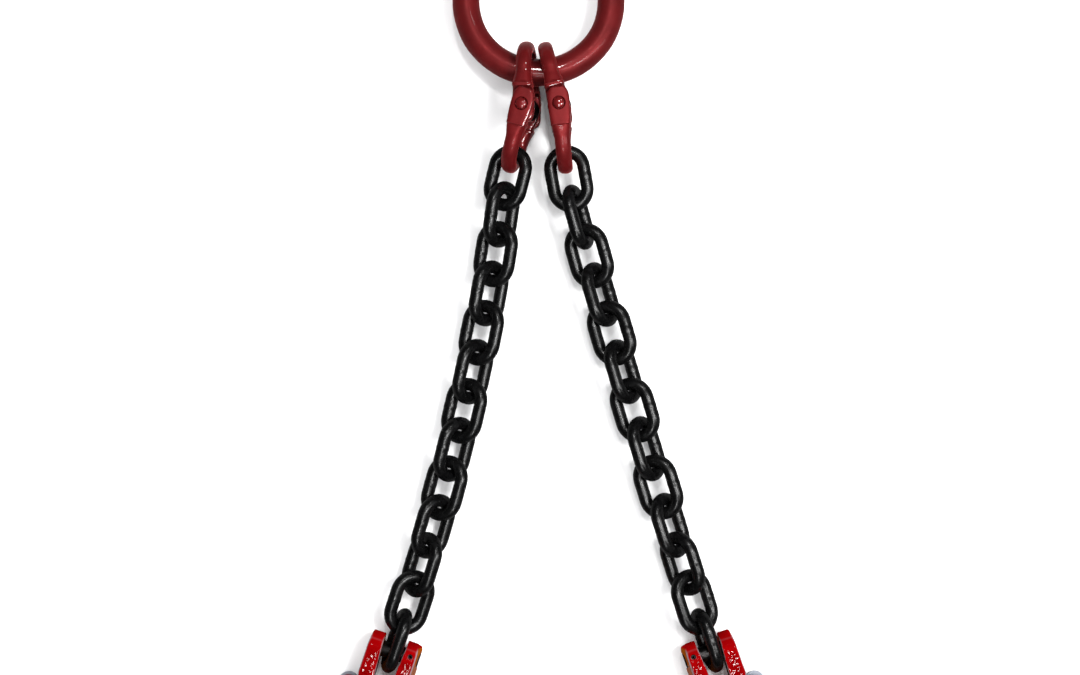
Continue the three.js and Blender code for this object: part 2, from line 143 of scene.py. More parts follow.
def frame_matrix(origin, x, y, z):
    """A matrix from millimetres in a local frame to metres in the row frame."""
    columns = [Vector(axis).normalized() * MM for axis in (x, y, z)]
    matrix = Matrix.Identity(4)
    for i, column in enumerate(columns):
        for j in range(3):
            matrix[j][i] = column[j]
        matrix[i][3] = origin[i]
    return matrix


def joint_point(name):
    return Vector(JOINTS[name]["pos_m"])


def joint_axis(name):
    return Vector(JOINTS[name]["axis"]).normalized()


def square_to(direction, axis):
    """The part of a direction that is square to an axis, one unit long."""
    return (direction - axis * direction.dot(axis)).normalized()


def principal_frame(node):
    """Middle of a symmetric node, and its axes from the longest to the shortest."""
    vertices = frame["nodes"][node].data.vertices
    points = np.array([v.co for v in vertices], float)
    points = np.unique(np.round(points, 7), axis=0)
    middle = (points.max(0) + points.min(0)) / 2
    centred = points - points.mean(0)
    _, axes = np.linalg.eigh(centred.T @ centred)
    return Vector(middle), [Vector(axes[:, i]) for i in (2, 1, 0)]


def oval_frame(node, down):
    """Frame of a link or ring: origin at its middle, its long way opposite to `down`."""
    middle, (long_way, _, flat_way) = principal_frame(node)
    y = long_way if long_way.dot(down) < 0 else -long_way
    z = flat_way if flat_way.z > 0 else -flat_way
    return frame_matrix(middle, y.cross(z), y, z)


def coupler_frame(leg, upper):
    """Origin at the pin. +Y points at the ring, for both halves."""
    pin = joint_point(f"{leg}_coupler_fold")
    z = -joint_axis(f"{leg}_coupler_fold")
    if upper:
        towards = joint_point(f"{leg}_coupler_swing") - pin
    else:
        towards = pin - joint_point(f"{leg}_chain_01")
    y = square_to(towards, z)
    return frame_matrix(pin, y.cross(z), y, z)


def hook_frame(leg):
    """Origin at the load pin, X along the pin, bowl at -Y."""
    x = -joint_axis(f"{leg}_hook_swing")
    z = joint_axis(f"{leg}_latch_turn")
    return frame_matrix(joint_point(f"{leg}_hook_swing"), x, z.cross(x), z)


# ---- mesh tools ----------------------------------------------------------------


def clamped(value):
    """A number held between 0 and 1."""
    return min(1.0, max(0.0, value))


def make_object(name, vertices, faces):
    mesh = bpy.data.meshes.new(name)
    mesh.from_pydata([tuple(v) for v in vertices], [], faces)
    mesh.update()
    obj = bpy.data.objects.new(name, mesh)
    bpy.context.scene.collection.objects.link(obj)
    return obj


def signed_volume(vertices, faces):
    """Six times the volume: only its sign is used."""
    total = 0.0
    for face in faces:
        a = Vector(vertices[face[0]])
        for i in range(1, len(face) - 1):
            total += a.dot(Vector(vertices[face[i]]).cross(Vector(vertices[face[i + 1]])))
    return total


def loft(rows, loop=False):
    """Vertices and outward faces of a solid through equal-sized outlines."""
    sides = len(rows[0])
    vertices = [point for row in rows for point in row]
    faces = []
    spans = len(rows) if loop else len(rows) - 1
    for i in range(spans):
        here = i * sides
        there = ((i + 1) % len(rows)) * sides
        for j in range(sides):
            k = (j + 1) % sides
            faces.append((here + j, here + k, there + k, there + j))
    if not loop:
        last = (len(rows) - 1) * sides
        faces.append(tuple(range(sides))[::-1])
        faces.append(tuple(range(last, last + sides)))
    if signed_volume(vertices, faces) < 0:
        faces = [face[::-1] for face in faces]
    return vertices, faces


def lathe(profile, sides, loop=False):
    """A turned solid about Z. A closed profile makes a ring; ends on the axis make a rod."""
    rows = []
    for r, z in profile:
        row = []
        for j in range(sides):
            angle = 2 * math.pi * j / sides
            row.append((max(r, 0.001) * math.cos(angle), max(r, 0.001) * math.sin(angle), z))
        rows.append(row)
    return loft(rows, loop)


def rod(radius, half_length, sides):
    """A plain round bar about Z."""
    return lathe([(radius, -half_length), (radius, half_length)], sides)


def prism(points, low, high):
    """An outline in the XY plane, drawn out along Z."""
    rows = [[(x, y, z) for x, y in points] for z in (low, high)]
    return loft(rows)


def arc(cx, cy, radius, start, end, steps):
    """Points on an arc between two angles in degrees."""
    points = []
    for i in range(steps + 1):
        angle = math.radians(start + (end - start) * i / steps)
        points.append((cx + radius * math.cos(angle), cy + radius * math.sin(angle)))
    return points


def smooth_rows(keys, steps):
    """Rows of numbers on a smooth curve through the key rows."""
    rows = []
    for i in range(len(keys) - 1):
        before = keys[max(i - 1, 0)]
        after = keys[min(i + 2, len(keys) - 1)]
        for s in range(steps):
            t = s / steps
            row = []
            for p0, p1, p2, p3 in zip(before, keys[i], keys[i + 1], after):
                slope = (p2 - p0) / 2
                next_slope = (p3 - p1) / 2
                a = 2 * p1 - 2 * p2 + slope + next_slope
                b = -3 * p1 + 3 * p2 - 2 * slope - next_slope
                row.append(((a * t + b) * t + slope) * t + p1)
            rows.append(tuple(row))
    rows.append(tuple(keys[-1]))
    return rows


def rounded_section(sides, half_u, half_v, power):
    """A closed outline between an ellipse (power 2) and a rectangle."""
    points = []
    for j in range(sides):
        angle = 2 * math.pi * (j + 0.5) / sides
        c = math.cos(angle)
        s = math.sin(angle)
        u = half_u * math.copysign(abs(c) ** (2 / power), c)
        v = half_v * math.copysign(abs(s) ** (2 / power), s)
        points.append((u, v))
    return points


def path_rows(stations, sides):
    """Outlines along a flat path: each station is (x, y, out angle, half u, half v, power)."""
    rows = []
    for x, y, angle, half_u, half_v, power in stations:
        out = (math.cos(angle), math.sin(angle))
        section = rounded_section(sides, half_u, half_v, power)
        rows.append([(x + out[0] * u, y + out[1] * u, v) for u, v in section])
    return rows


def tube(points, radius, sides):
    """A round wire along a path in space."""
    rows = []
    side = None
    for i, point in enumerate(points):
        before = points[max(i - 1, 0)]
        after = points[min(i + 1, len(points) - 1)]
        along = (after - before).normalized()
        if side is None:
            side = along.orthogonal().normalized()
        side = square_to(side, along)
        up = along.cross(side)
        row = []
        for j in range(sides):
            angle = 2 * math.pi * j / sides
            row.append(point + side * radius * math.cos(angle) + up * radius * math.sin(angle))
        rows.append(row)
    return loft(rows)


def turned(solid, matrix):
    """The same solid, moved by a matrix."""
    vertices, faces = solid
    return [matrix @ Vector(v) for v in vertices], faces


def apply_modifiers(obj):
    """Puts the modified mesh in place of the object's own."""
    depsgraph = bpy.context.evaluated_depsgraph_get()
    mesh = bpy.data.meshes.new_from_object(obj.evaluated_get(depsgraph))
    obj.modifiers.clear()
    obj.data = mesh
    return obj


def boolean(obj, solid, operation):
    tool = make_object("tool", *solid)
    modifier = obj.modifiers.new("boolean", "BOOLEAN")
    modifier.operation = operation
    modifier.solver = "EXACT"
    modifier.object = tool
    apply_modifiers(obj)
    bpy.data.objects.remove(tool)


def bore(obj, pin_radius, half_length, sides, matrix):
    """Drills the hole for a pin, a little wider than the pin."""
    drill = rod(pin_radius + BORE_CLEARANCE, half_length, sides)
    boolean(obj, turned(drill, matrix), "DIFFERENCE")


def fuse(name, solids, cuts, voxel, relax):
    """One forged skin around overlapping solids, with softened edges."""
    obj = make_object(name, *solids[0])
    for solid in solids[1:]:
        boolean(obj, solid, "UNION")
    for cut in cuts:
        boolean(obj, cut, "DIFFERENCE")
    remesh = obj.modifiers.new("skin", "REMESH")
    remesh.mode = "VOXEL"
    remesh.voxel_size = voxel
    soften = obj.modifiers.new("soften", "SMOOTH")
    soften.factor = 0.5
    soften.iterations = relax
    return apply_modifiers(obj)


def bevel(obj, width, segments):
    modifier = obj.modifiers.new("edges", "BEVEL")
    modifier.width = width
    modifier.segments = segments
    modifier.limit_method = "ANGLE"
    modifier.angle_limit = math.radians(30)
    apply_modifiers(obj)


def smooth_shade(obj, angle=None):
    """Smooth shading, but for edges sharper than the angle in degrees."""
    for polygon in obj.data.polygons:
        polygon.use_smooth = True
    if angle is not None:
        obj.data.set_sharp_from_angle(angle=math.radians(angle))


def ripple(obj, amount, scale, seed):
    """Uneven forged surface: moves points along their normals, in the piece's own units."""
    mesh = obj.data
    normals = [v.normal.copy() for v in mesh.vertices]
    offset = Vector((seed * 7.3, seed * 3.1, seed * 5.7))
    for vertex, normal in zip(mesh.vertices, normals):
        vertex.co += normal * amount * noise.noise(vertex.co / scale + offset)
    mesh.update()


def store_on_points(mesh, name, values):
    """Keeps a number per point, for the materials to read by name."""
    attribute = mesh.attributes.new(name, "FLOAT", "POINT")
    attribute.data.foreach_set("value", values)


# ---- materials -------------------------------------------------------------------


def new_material(name):
    """A material with its node tree, its shader and the place on the object."""
    material = bpy.data.materials.new(name)
    material.use_nodes = True
    tree = material.node_tree
    shader = tree.nodes["Principled BSDF"]
    place = tree.nodes.new("ShaderNodeTexCoord")
    return material, tree, shader, place.outputs["Object"]


def noise_node(tree, place, scale, detail=4.0, roughness=0.55):
    node = tree.nodes.new("ShaderNodeTexNoise")
    node.inputs["Scale"].default_value = scale
    node.inputs["Detail"].default_value = detail
    node.inputs["Roughness"].default_value = roughness
    tree.links.new(place, node.inputs["Vector"])
    return node.outputs["Fac"]


def attribute_node(tree, name):
    """A number that is stored on the points of a piece."""
    node = tree.nodes.new("ShaderNodeAttribute")
    node.attribute_name = name
    return node.outputs["Fac"]


def ramp_node(tree, source, low, high, dark, bright):
    """Maps a share from low..high onto dark..bright, as numbers or as colours."""
    if isinstance(dark, (int, float)):
        node = tree.nodes.new("ShaderNodeMapRange")
        node.inputs["From Min"].default_value = low
        node.inputs["From Max"].default_value = high
        node.inputs["To Min"].default_value = dark
        node.inputs["To Max"].default_value = bright
        tree.links.new(source, node.inputs["Value"])
        return node.outputs["Result"]
    node = tree.nodes.new("ShaderNodeValToRGB")
    node.color_ramp.elements[0].position = low
    node.color_ramp.elements[1].position = high
    node.color_ramp.elements[0].color = (*dark, 1)
    node.color_ramp.elements[1].color = (*bright, 1)
    tree.links.new(source, node.inputs["Fac"])
    return node.outputs["Color"]


def mix_node(tree, share, first, second):
    """Mixes two colours, each given as numbers or as the output of a node."""
    node = tree.nodes.new("ShaderNodeMix")
    node.data_type = "RGBA"
    tree.links.new(share, node.inputs["Factor"])
    for value, socket in ((first, node.inputs[6]), (second, node.inputs[7])):
        if isinstance(value, tuple):
            socket.default_value = (*value, 1)
        else:
            tree.links.new(value, socket)
    return node.outputs[2]


def bump_node(tree, shader, layers):
    """Stacks bump layers of (height, distance in metres), all at full strength."""
    normal = None
    for height, distance in layers:
        node = tree.nodes.new("ShaderNodeBump")
        node.inputs["Distance"].default_value = distance
        tree.links.new(height, node.inputs["Height"])
        if normal is not None:
            tree.links.new(normal, node.inputs["Normal"])
        normal = node.outputs["Normal"]
    tree.links.new(normal, shader.inputs["Normal"])


def painted(name, dark, bright, metallic, roughness, coat, coat_roughness, wave):
    """Paint on forged steel: clouded colour, uneven gloss, red rims and a fine orange peel.

    coat is how much gloss coat there is in general and where the piece is polished. wave is
    the height of the paint's waviness.
    """
    material, tree, shader, place = new_material(name)
    cloud = noise_node(tree, place, 70.0)
    colour = ramp_node(tree, cloud, 0.35, 0.65, dark, bright)
    tree.links.new(colour, shader.inputs["Base Color"])
    gloss = noise_node(tree, place, 160.0)
    spread = ramp_node(tree, gloss, 0.3, 0.7, roughness * 0.85, roughness * 1.2)
    tree.links.new(spread, shader.inputs["Roughness"])
    shader.inputs["Metallic"].default_value = metallic
    shader.inputs["Specular IOR Level"].default_value = 0.2
    polish = ramp_node(tree, attribute_node(tree, "polished"), 0.0, 1.0, coat[0], coat[1])
    tree.links.new(polish, shader.inputs["Coat Weight"])
    shader.inputs["Coat Roughness"].default_value = coat_roughness
    shader.inputs["Sheen Weight"].default_value = 0.35
    shader.inputs["Sheen Roughness"].default_value = 0.3
    shader.inputs["Sheen Tint"].default_value = (*SHEEN_RED, 1)
    fine = noise_node(tree, place, 900.0, detail=2.0)
    wide = noise_node(tree, place, 180.0, detail=2.0)
    bump_node(tree, shader, [(fine, 0.00001), (wide, wave)])
    return material


def black_coating():
    """Gloss black coating: near black, with faint greyer scuffs and rolled-steel grain."""
    material, tree, shader, place = new_material("black_coating")
    scuff = noise_node(tree, place, 240.0, detail=6.0, roughness=0.65)
    colour = ramp_node(tree, scuff, 0.5, 0.8, *COATING_BLACK)
    tree.links.new(colour, shader.inputs["Base Color"])
    spread = ramp_node(tree, scuff, 0.4, 0.75, 0.25, 0.34)
    tree.links.new(spread, shader.inputs["Roughness"])
    shader.inputs["Specular IOR Level"].default_value = 0.36
    fine = noise_node(tree, place, 1500.0, detail=3.0)
    wide = noise_node(tree, place, 260.0, detail=2.0)
    bump_node(tree, shader, [(fine, 0.000003), (wide, 0.000006)])
    return material


def hook_enamel():
    """Bright red enamel, with orange-brown side walls, a painted grey highlight along their edges,
    and raised marks.
    """
    material, tree, shader, place = new_material("bright_red_enamel")
    cloud = noise_node(tree, place, 90.0)
    colour = ramp_node(tree, cloud, 0.35, 0.7, *ENAMEL_RED)
    grain = noise_node(tree, place, 420.0, detail=5.0)
    brown = ramp_node(tree, grain, 0.3, 0.75, *SIDE_WALL_BROWN)
    # Orange-brown on the upright side walls of the yoke.
    colour = mix_node(tree, attribute_node(tree, "brown_side_wall"), colour, brown)
    # Painted highlight: grey along the edges between the ear faces and the side walls.
    colour = mix_node(tree, attribute_node(tree, "painted_edge_highlight"), colour, EDGE_HIGHLIGHT_GREY)
    tree.links.new(colour, shader.inputs["Base Color"])
    gloss = noise_node(tree, place, 240.0)
    spread = ramp_node(tree, gloss, 0.3, 0.7, 0.28, 0.4)
    tree.links.new(spread, shader.inputs["Roughness"])
    shader.inputs["Specular IOR Level"].default_value = 0.0
    coat = ramp_node(tree, attribute_node(tree, "glossy"), 0.0, 1.0, 0.04, 0.9)
    tree.links.new(coat, shader.inputs["Coat Weight"])
    shader.inputs["Coat Roughness"].default_value = 0.05
    marks = ramp_node(tree, noise_node(tree, place, 850.0, detail=1.0), 0.42, 0.62, 0.0, 1.0)
    raised = tree.nodes.new("ShaderNodeMath")
    raised.operation = "MULTIPLY"
    tree.links.new(marks, raised.inputs[0])
    tree.links.new(attribute_node(tree, "marked"), raised.inputs[1])
    wide = noise_node(tree, place, 260.0, detail=3.0)
    bump_node(tree, shader, [(wide, 0.00003), (raised.outputs["Value"], 0.0005)])
    return material


def bare_metal(name, dark, bright, metallic, roughness, grain_scale, depth):
    """Bare or plated steel: clouded grey, brushed gloss and fine grain."""
    material, tree, shader, place = new_material(name)
    cloud = noise_node(tree, place, 130.0)
    colour = ramp_node(tree, cloud, 0.3, 0.7, dark, bright)
    tree.links.new(colour, shader.inputs["Base Color"])
    shader.inputs["Metallic"].default_value = metallic
    gloss = noise_node(tree, place, grain_scale)
    spread = ramp_node(tree, gloss, 0.3, 0.7, roughness * 0.8, roughness * 1.25)
    tree.links.new(spread, shader.inputs["Roughness"])
    grain = noise_node(tree, place, grain_scale * 3, detail=3.0)
    bump_node(tree, shader, [(grain, depth)])
    return material


MATERIALS = {
    "dark_red_paint": painted(
        "dark_red_paint",
        dark=(0.098, 0.0056, 0.0064),
        bright=(0.125, 0.0070, 0.0080),
        metallic=0.5,
        roughness=0.42,
        coat=(0.08, 0.9),
        coat_roughness=0.06,
        wave=0.00003,
    ),
    "dark_red_gloss": painted(
        "dark_red_gloss",
        dark=(0.105, 0.0048, 0.0056),
        bright=(0.135, 0.0060, 0.0070),
        metallic=0.5,
        roughness=0.40,
        coat=(0.06, 1.0),
        coat_roughness=0.05,
        wave=0.00009,
    ),
    "black_coating": black_coating(),
    "bright_red_enamel": hook_enamel(),
    "dark_steel": bare_metal(
        "dark_steel",
        dark=(0.018, 0.017, 0.017),
        bright=(0.036, 0.034, 0.034),
        metallic=1.0,
        roughness=0.36,
        grain_scale=500.0,
        depth=0.00001,
    ),
    "zinc_plate": bare_metal(
        "zinc_plate",
        dark=(0.20, 0.22, 0.26),
        bright=(0.27, 0.295, 0.34),
        metallic=0.4,
        roughness=0.40,
        grain_scale=90.0,
        depth=0.000002,
    ),
    "spring_steel": bare_metal(
        "spring_steel",
        dark=(0.10, 0.10, 0.103),
        bright=(0.17, 0.17, 0.174),
        metallic=0.9,
        roughness=0.28,
        grain_scale=700.0,
        depth=0.000006,
    ),
}


# ---- the pieces ------------------------------------------------------------------


def finish_piece(obj, matrix, body, node, slot):
    """Moves a piece from its own frame to its place, and ties it to its body."""
    obj.data.transform(matrix)
    obj.data.update()
    obj.data.materials.clear()
    obj.data.materials.append(MATERIALS[slot])
    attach(obj, body)
    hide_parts(node)


def oval_rows(radius, half_straight, wire, sides, crown_steps, straight_steps, swell=None):
    """Outlines round an oval ring in the XY plane. swell(x, y) scales the wire there."""
    stations = []
    for end in (0, 1):
        shift = half_straight if end == 0 else -half_straight
        for i in range(crown_steps + 1):
            angle = math.pi * (end + i / crown_steps)
            x = radius * math.cos(angle)
            y = radius * math.sin(angle) + shift
            stations.append((x, y, angle))
        side = -radius if end == 0 else radius
        facing = math.pi if end == 0 else 2 * math.pi
        for i in range(1, straight_steps):
            y = shift * (1 - 2 * i / straight_steps)
            stations.append((side, y, facing))
    rows = []
    for x, y, angle in stations:
        scale = swell(x, y) if swell else 1.0
        half = wire / 2 * scale
        row = []
        for j in range(sides):
            turn = 2 * math.pi * j / sides
            reach = half * math.cos(turn)
            row.append(
                (x + reach * math.cos(angle), y + reach * math.sin(angle), half * math.sin(turn))
            )
        rows.append(row)
    return rows


def polish_at(point, radius, half_straight):
    """1 inside the ring's crowns, where the couplers and the crane hook rub it."""
    reach = math.hypot(point.x, abs(point.y) - half_straight)
    inside = clamped(radius + RUBBED_RISE - reach)
    return inside * math.exp(-((point.x / RUBBED_WIDTH) ** 2))


def add_master_link():
    radius = (MASTER_INNER_WIDTH + MASTER_WIRE) / 2
    half_straight = (MASTER_INNER_LENGTH - MASTER_INNER_WIDTH) / 2

    def swell(x, y):
        weld = math.exp(-((y / MASTER_WELD_HALF_LENGTH) ** 2)) if x > 0 else 0.0
        return 1.0 + MASTER_WELD_SWELL * weld

    rows = oval_rows(radius, half_straight, MASTER_WIRE, 48, 40, 24, swell)
    obj = make_object("master_ring", *loft(rows, loop=True))
    ripple(obj, amount=0.22, scale=16.0, seed=1)
    smooth_shade(obj)
    points = [vertex.co for vertex in obj.data.vertices]
    polish = [polish_at(point, radius, half_straight) for point in points]
    store_on_points(obj.data, "polished", polish)
    matrix = oval_frame("master_link", Vector((0, -1, 0)))
    finish_piece(obj, matrix, "master_link", "master_link", "dark_red_paint")


def add_link(leg, k):
    node = f"{leg}_link_{k:02d}"
    radius = (CHAIN_INNER_WIDTH + CHAIN_WIRE) / 2
    half_straight = (CHAIN_PITCH - CHAIN_INNER_WIDTH) / 2
    weld_side = 1 if leg == "right" else -1
    weld_y = WELD_WANDER * math.sin(2.1 * k)

    def swell(x, y):
        if x * weld_side < 0:
            return 1.0
        ridge = math.exp(-(((y - weld_y) / WELD_HALF_LENGTH) ** 2))
        from_groove = abs(y - weld_y) - WELD_GROOVE_PLACE
        groove = math.exp(-((from_groove / WELD_GROOVE_HALF_LENGTH) ** 2))
        return 1.0 + WELD_SWELL * (ridge - WELD_GROOVE_SHARE * groove)

    rows = oval_rows(radius, half_straight, CHAIN_WIRE, 28, 18, 20, swell)
    obj = make_object(node + "_piece", *loft(rows, loop=True))
    ripple(obj, amount=0.05, scale=7.0, seed=k)
    smooth_shade(obj)
    here = joint_point(f"{leg}_chain_{k:02d}")
    following = f"{leg}_hook_swing" if k == LINKS_PER_LEG else f"{leg}_chain_{k + 1:02d}"
    matrix = oval_frame(node, joint_point(following) - here)
    finish_piece(obj, matrix, node, node, "black_coating")


def lug_stations(depths, side):
    """Outlines from a lug's narrow round end, over its pin, up to the shoulder of its arm."""
    middle = side * (depths[0] + depths[1]) / 2
    half = (depths[1] - depths[0]) / 2
    out = 0.0 if side > 0 else math.pi
    bluntness = 0.62
    steps = 9
    stations = []
    for i in range(steps + 1):
        # The end closes along a quarter of a blunt oval.
        turn = math.radians(3 + 87 * i / steps)
        y = -COUPLER_LUG_END * math.cos(turn) ** bluntness
        half_x = COUPLER_LUG_HALF * math.sin(turn) ** bluntness
        shrink = 0.55 + 0.45 * min(1.0, i / 3)
        stations.append((middle, y, out, half * shrink, half_x, COUPLER_LUG_SQUARENESS))
    for y in (2.5, 5.0, 8.0, 11.0):
        half_x = COUPLER_LUG_HALF - 0.5 * max(0.0, y - 2.0) / 9
        stations.append((middle, y, out, half, half_x, COUPLER_LUG_SQUARENESS))
    return stations


def arm_keys(middle, half, relief):
    """Rows of (y, depth, half depth, half width, squareness) from the shoulder to the crown."""
    shoulder = COUPLER_SHOULDER
    wide = COUPLER_LUG_HALF - 0.6
    return [
        (shoulder, middle, half - relief, wide - relief, COUPLER_LUG_SQUARENESS),
        (shoulder + 0.2, middle, half - relief * 0.3, wide - relief * 0.3, COUPLER_LUG_SQUARENESS),
        (shoulder + 0.7, middle, half, wide, COUPLER_LUG_SQUARENESS),
        (shoulder + 2.2, middle - 0.05, half - 0.05, wide - 0.05, COUPLER_LUG_SQUARENESS),
        (shoulder + 2.7, middle - 0.25, half - 0.45, wide - 0.4, 4.0),
        (shoulder + 4.5, middle - 0.35, half - 0.75, wide - 0.55, 3.2),
        (COUPLER_CROWN_Y - 5.0, 19.6, 6.1, 6.3, 2.9),
        (COUPLER_CROWN_Y - 2.0, 19.3, 5.5, 5.85, 2.6),
    ]


def coupler_half():
    """Local frame: pin along Z at the origin, crown at +Y, inner lug on the +Z side."""
    sides = 44
    outer = COUPLER_OUTER_DEPTHS[1]
    inner = COUPLER_LUG_DEPTHS[0]
    middle = (inner + outer) / 2
    half = (outer - inner) / 2
    stations = lug_stations(COUPLER_LUG_DEPTHS, 1)
    for y, depth, half_depth, half_x, power in arm_keys(middle, half, 0.5):
        stations.append((depth, y, 0.0, half_depth, half_x, power))
    steps = 20
    for i in range(steps + 1):
        angle = math.pi * i / steps
        x = COUPLER_CROWN_RADIUS * math.cos(angle)
        y = COUPLER_CROWN_Y + COUPLER_CROWN_RADIUS * math.sin(angle)
        shoulder = abs(math.cos(angle)) ** 3
        half_depth = COUPLER_BAR_HALF_DEPTH + 0.2 * shoulder
        half_x = COUPLER_BAR_HALF_WIDTH + 0.2 * shoulder
        stations.append((x, y, angle, half_depth, half_x, COUPLER_BAR_SQUARENESS))
    # The outer lug runs on from its arm without a groove.
    for y, depth, half_depth, half_x, power in reversed(arm_keys(middle, half, 0.0)):
        stations.append((-depth, y, math.pi, half_depth, half_x, power))
    stations += reversed(lug_stations(COUPLER_OUTER_DEPTHS, -1))
    solid = loft(path_rows(stations, sides))
    # The path lies in XY: its X becomes the depth along the pin.
    upright = Matrix(((0, 0, -1, 0), (0, 1, 0, 0), (1, 0, 0, 0), (0, 0, 0, 1)))
    return turned(solid, upright)


def pin_bore(depth):
    """Bore cutter with a countersink at each outer face."""
    r = COUPLER_PIN_RADIUS
    half = [(r + 0.35, depth - 1.0), (r + 0.9, depth - 0.35), (r + 1.25, depth + 0.6)]
    profile = [(0.0, -depth - 0.6)]
    profile += [(x, -z) for x, z in reversed(half)]
    profile += half + [(0.0, depth + 0.6)]
    return lathe(profile, 40)


def polish_coupler(obj, upper, matrix):
    """Leaves the lower bow's top arm dull, and polishes the rest."""
    rising = (matrix.to_3x3() @ Vector((0, 0, 1))).z
    polish = []
    for vertex in obj.data.vertices:
        dull = not upper and rising * vertex.co.z > 0
        fade = clamped((DULL_ARM_START - vertex.co.y) / DULL_ARM_FADE)
        polish.append(fade if dull else 1.0)
    store_on_points(obj.data, "polished", polish)


def add_bow(leg, upper):
    node = f"{leg}_coupler_{'upper' if upper else 'lower'}"
    obj = make_object(node + "_bow", *coupler_half())
    boolean(obj, pin_bore(COUPLER_OUTER_DEPTHS[1]), "DIFFERENCE")
    bpy.context.view_layer.update()
    smooth_shade(obj, 38)
    matrix = coupler_frame(leg, upper)
    if not upper:
        matrix = matrix @ Matrix.Rotation(math.pi, 4, "X")
    polish_coupler(obj, upper, matrix)
    finish_piece(obj, matrix, node, node, "dark_red_gloss")


def add_load_pin(leg):
    """Pin with a domed head at each end."""
    r = COUPLER_PIN_RADIUS
    outer = COUPLER_OUTER_DEPTHS[1]
    dome = [(r, outer - 0.2)]
    for degrees in (8, 18, 30, 42, 54, 66, 78, 90):
        angle = math.radians(degrees)
        dome.append((r * math.cos(angle), outer + 0.1 + 1.5 * math.sin(angle)))
    profile = [(x, -z) for x, z in reversed(dome)] + dome
    obj = make_object(f"{leg}_load_pin", *lathe(profile, 32))
    store_on_points(obj.data, "polished", [1.0] * len(obj.data.vertices))
    smooth_shade(obj, 50)
    matrix = coupler_frame(leg, True)
    finish_piece(obj, matrix, f"{leg}_coupler_upper", f"{leg}_coupler_pin", "dark_red_gloss")


def add_sleeve(leg):
    """Sleeve on the load pin, between the inner lugs, with a waist in its middle."""
    hole = COUPLER_PIN_RADIUS + BORE_CLEARANCE
    end = COUPLER_LUG_DEPTHS[0] - 0.3
    outside = [
        (hole, -end), (8.1, -end), (8.5, -end + 0.4), (8.6, -end + 3), (8.1, -end + 4.2),
        (7.3, -end + 5.2), (7, -end + 6.5), (6.9, -3), (6.9, -1),
    ]
    profile = outside + [(x, -z) for x, z in reversed(outside)]
    obj = make_object(f"{leg}_spacer_sleeve", *lathe(profile, 36, loop=True))
    smooth_shade(obj, 40)
    matrix = coupler_frame(leg, True)
    finish_piece(obj, matrix, f"{leg}_coupler_upper", f"{leg}_coupler_sleeve", "dark_steel")


def hook_bowl():
    """Back, bowl and tip of the hook as one smooth forged bar."""
    # Each key is (x, y, half width, half depth).
    keys = [
        (0.0, -16.0, 16.0, 12.0),
        (1.5, -24.0, 16.2, 12.0),
        (5.5, -35.0, 15.2, 12.0),
        (13.5, -47.0, 13.7, 12.0),
        (22.8, -60.0, 12.7, 12.0),
        (28.6, -75.0, 12.6, 12.0),
    ]
    for degrees in range(-4, -175, -17):
        thin = max(0.0, (-110 - degrees) / 64)
        angle = math.radians(degrees)
        x = HOOK_BOWL_RADIUS * math.cos(angle)
        y = HOOK_BOWL_CENTRE_Y + HOOK_BOWL_RADIUS * math.sin(angle)
        keys.append((x, y, 12.9 - 2 * thin, 12.0 - 1.4 * thin))
    keys += [
        (-29.9, -83.5, 9.9, 9.8),
        (-29.5, -77.5, 8.6, 8.6),
        (-28.9, -73.0, 6.3, 6.5),
        (-28.5, -71.0, 3.6, 3.8),
        (-28.4, -70.4, 1.0, 1.0),
    ]
    rows = smooth_rows(keys, 5)
    stations = []
    for i, (x, y, half_u, half_v) in enumerate(rows):
        before = rows[max(i - 1, 0)]
        after = rows[min(i + 1, len(rows) - 1)]
        run = (after[0] - before[0], after[1] - before[1])
        out = math.atan2(run[0], -run[1])
        stations.append((x, y, out, half_u, half_v, HOOK_BAR_SQUARENESS))
    return loft(path_rows(stations, 40))


def drafted_section(left, right, depth, draft):
    """Outline of the clevis: its left side is upright, its right side slopes to both faces."""
    corner = 1.2
    quarter = []
    for degrees in (0, 30, 60, 90):
        angle = math.radians(degrees)
        quarter.append((corner * (1 - math.sin(angle)), corner * (1 - math.cos(angle))))
    points = [(right - draft - inset, depth - drop) for inset, drop in quarter]
    for share in (0.7, 0.4, 0.0):
        points.append((right - draft * share, (depth - corner) * share))
    points += [(x, -z) for x, z in reversed(points[:-1])]
    points += [(left + inset, -depth + drop) for inset, drop in quarter]
    for share in (0.7, 0.4, 0.0):
        points.append((left, -(depth - corner) * share))
    points += [(left, (depth - corner) * share) for share in (0.4, 0.7)]
    points += [(left + inset, depth - drop) for inset, drop in reversed(quarter)]
    return points


def hook_yoke():
    """Block that the two ears are cut from, from the ear tops down to the back."""
    left = -HOOK_LATCH_SIDE
    right = HOOK_PLAIN_SIDE
    d = HOOK_HALF_DEPTH
    draft = 3.2
    # Each key is (y, left, right, half depth, draft).
    keys = [
        (0.0, left, right, d, draft),
        (-14.0, left, right, d, draft),
        (-20.0, left, right, d - 0.3, draft),
        (-24.0, -17.4, right, d - 0.7, draft),
        (-30.0, -14.4, right, d - 1.2, draft),
        (-38.0, -8.0, right - 0.4, 12.0, 1.4),
        (-44.0, 2.0, right - 1.0, 11.2, 1.0),
    ]
    rows = []
    # Seen from the side, the ears end in a half oval about the load pin.
    steps = 16
    for i in range(steps):
        turn = math.radians(6 + 84 * i / steps)
        side = 2.4 * (1 - math.sin(turn)) ** 1.5
        depth = d * math.sin(turn)
        rows.append((HOOK_EAR_TOP * math.cos(turn), left + side, right - side, depth, draft))
    rows += smooth_rows(keys, 4)
    outlines = []
    for y, low, high, depth, slope in rows:
        outlines.append([(x, y, z) for x, z in drafted_section(low, high, depth, slope)])
    return loft(outlines)


